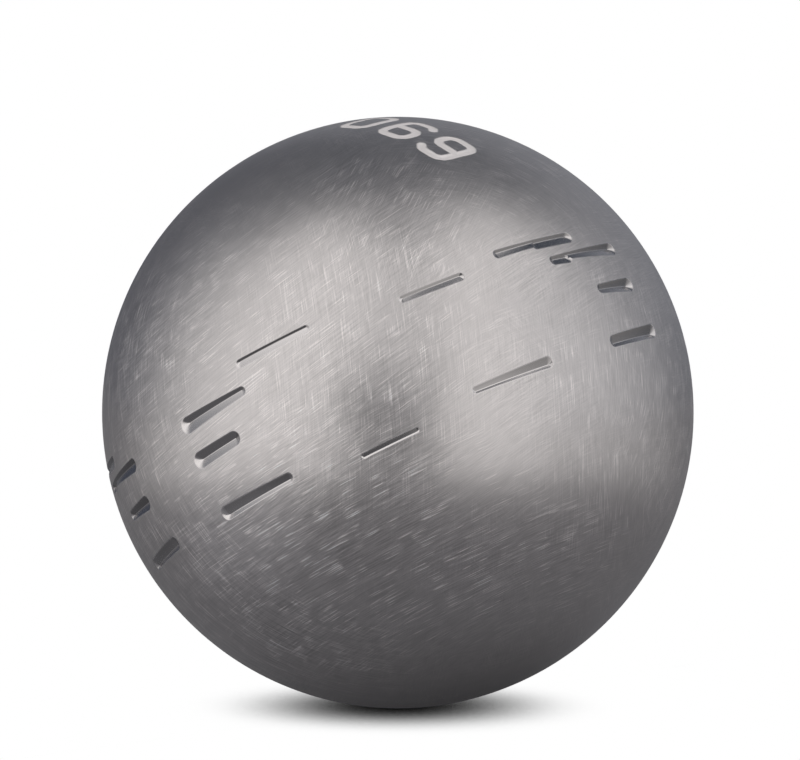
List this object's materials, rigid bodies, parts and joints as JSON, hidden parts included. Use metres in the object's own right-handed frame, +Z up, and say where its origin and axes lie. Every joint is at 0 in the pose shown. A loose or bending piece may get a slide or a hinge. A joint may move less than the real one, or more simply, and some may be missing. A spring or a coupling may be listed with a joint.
{
  "type": "petanque boule",
  "caption": "Hollow steel petanque boule: two welded shells with short V-cut stripes milled round the middle.",
  "frame": {"origin": "centre of the ball", "axes": "+Z up as the boule lies on the ground, -Y towards the viewer of the picture, +X to the viewer's right"},
  "size_m": [0.074, 0.074, 0.074],
  "materials": {
    "shell_steel": "satin, fine crossed polishing scratches",
    "weld_steel": "satin, machined flush and polished with the shells"
  },
  "bodies": {
    "root": {"front_shell": "shell_steel", "back_shell": "shell_steel", "weld_seam": "weld_steel"}
  },
  "joints": []
}
